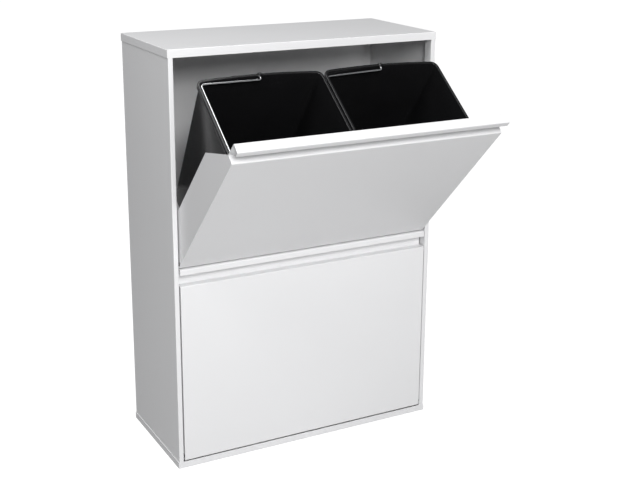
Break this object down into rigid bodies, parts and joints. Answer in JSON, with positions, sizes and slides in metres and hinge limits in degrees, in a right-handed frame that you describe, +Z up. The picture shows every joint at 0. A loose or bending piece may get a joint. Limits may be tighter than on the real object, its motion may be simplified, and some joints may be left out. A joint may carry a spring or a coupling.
{
  "type": "recycling bin station",
  "caption": "Tall rectangular sheet-metal cabinet with tilt-out doors, each carrying lift-out plastic bins with folding wire bails.",
  "frame": {"origin": "on the floor, under the middle of the cabinet", "axes": "+X runs to the right along the front, +Y runs from the front to the back, +Z is up"},
  "size_m": [0.6, 0.548, 0.868],
  "materials": {
    "white_steel": "smooth satin powder coat",
    "black_plastic": "glossy moulded",
    "bright_wire": "polished",
    "steel_pin": "plain",
    "bush_plastic": "matt",
    "stop_rubber": "matt",
    "rivet_alloy": "satin"
  },
  "bodies": {
    "cabinet": {"base_tray": "white_steel", "top_cap": "white_steel", "left_side_panel": "white_steel", "right_side_panel": "white_steel", "back_panel": "white_steel", "middle_rail": "white_steel", "back_panel_rivets": "rivet_alloy", "lower_hinge_pins": "steel_pin", "upper_hinge_pins": "steel_pin"},
    "upper_door": {"upper_door_panel": "white_steel", "upper_door_shelf": "white_steel", "upper_door_bushes": "bush_plastic", "upper_door_stop_studs": "stop_rubber"},
    "lower_door": {"lower_door_panel": "white_steel", "lower_door_shelf": "white_steel", "lower_door_bushes": "bush_plastic", "lower_door_stop_studs": "stop_rubber"},
    "upper_left_bin": {"upper_left_bin": "black_plastic"},
    "upper_right_bin": {"upper_right_bin": "black_plastic"},
    "lower_left_bin": {"lower_left_bin": "black_plastic"},
    "lower_right_bin": {"lower_right_bin": "black_plastic"},
    "upper_left_bail": {"upper_left_bail": "bright_wire"},
    "upper_right_bail": {"upper_right_bail": "bright_wire"},
    "lower_left_bail": {"lower_left_bail": "bright_wire"},
    "lower_right_bail": {"lower_right_bail": "bright_wire"}
  },
  "joints": [
    {"name": "upper_door_hinge", "type": "hinge", "parent": "cabinet", "child": "upper_door", "pos_m": [0, -0.127, 0.444], "axis": [1, 0, 0], "range_deg": [-44.5, 0]},
    {"name": "lower_door_hinge", "type": "hinge", "parent": "cabinet", "child": "lower_door", "pos_m": [0, -0.127, 0.026], "axis": [1, 0, 0], "range_deg": [0, 44.5]},
    {"name": "upper_left_bin_lift", "type": "slide", "parent": "upper_door", "child": "upper_left_bin", "axis": [0, -0.6088, 0.7934], "range_m": [0, 0.35]},
    {"name": "upper_right_bin_lift", "type": "slide", "parent": "upper_door", "child": "upper_right_bin", "axis": [0, -0.6088, 0.7934], "range_m": [0, 0.35]},
    {"name": "lower_left_bin_lift", "type": "slide", "parent": "lower_door", "child": "lower_left_bin", "axis": [0, 0.1219, 0.9925], "range_m": [0, 0.045]},
    {"name": "lower_right_bin_lift", "type": "slide", "parent": "lower_door", "child": "lower_right_bin", "axis": [0, 0.1219, 0.9925], "range_m": [0, 0.045]},
    {"name": "upper_left_bail_pivot", "type": "hinge", "parent": "upper_left_bin", "child": "upper_left_bail", "pos_m": [-0.1355, -0.26578, 0.75427], "axis": [0, 0.7934, 0.6088], "range_deg": [0, 180]},
    {"name": "upper_right_bail_pivot", "type": "hinge", "parent": "upper_right_bin", "child": "upper_right_bail", "pos_m": [0.131, -0.26578, 0.75427], "axis": [0, 0.7934, 0.6088], "range_deg": [0, 180]},
    {"name": "lower_left_bail_pivot", "type": "hinge", "parent": "lower_left_bin", "child": "lower_left_bail", "pos_m": [-0.1355, -0.00851, 0.34457], "axis": [0, 0.9925, -0.1219], "range_deg": [0, 20]},
    {"name": "lower_right_bail_pivot", "type": "hinge", "parent": "lower_right_bin", "child": "lower_right_bail", "pos_m": [0.131, -0.00851, 0.34457], "axis": [0, 0.9925, -0.1219], "range_deg": [0, 20]}
  ]
}
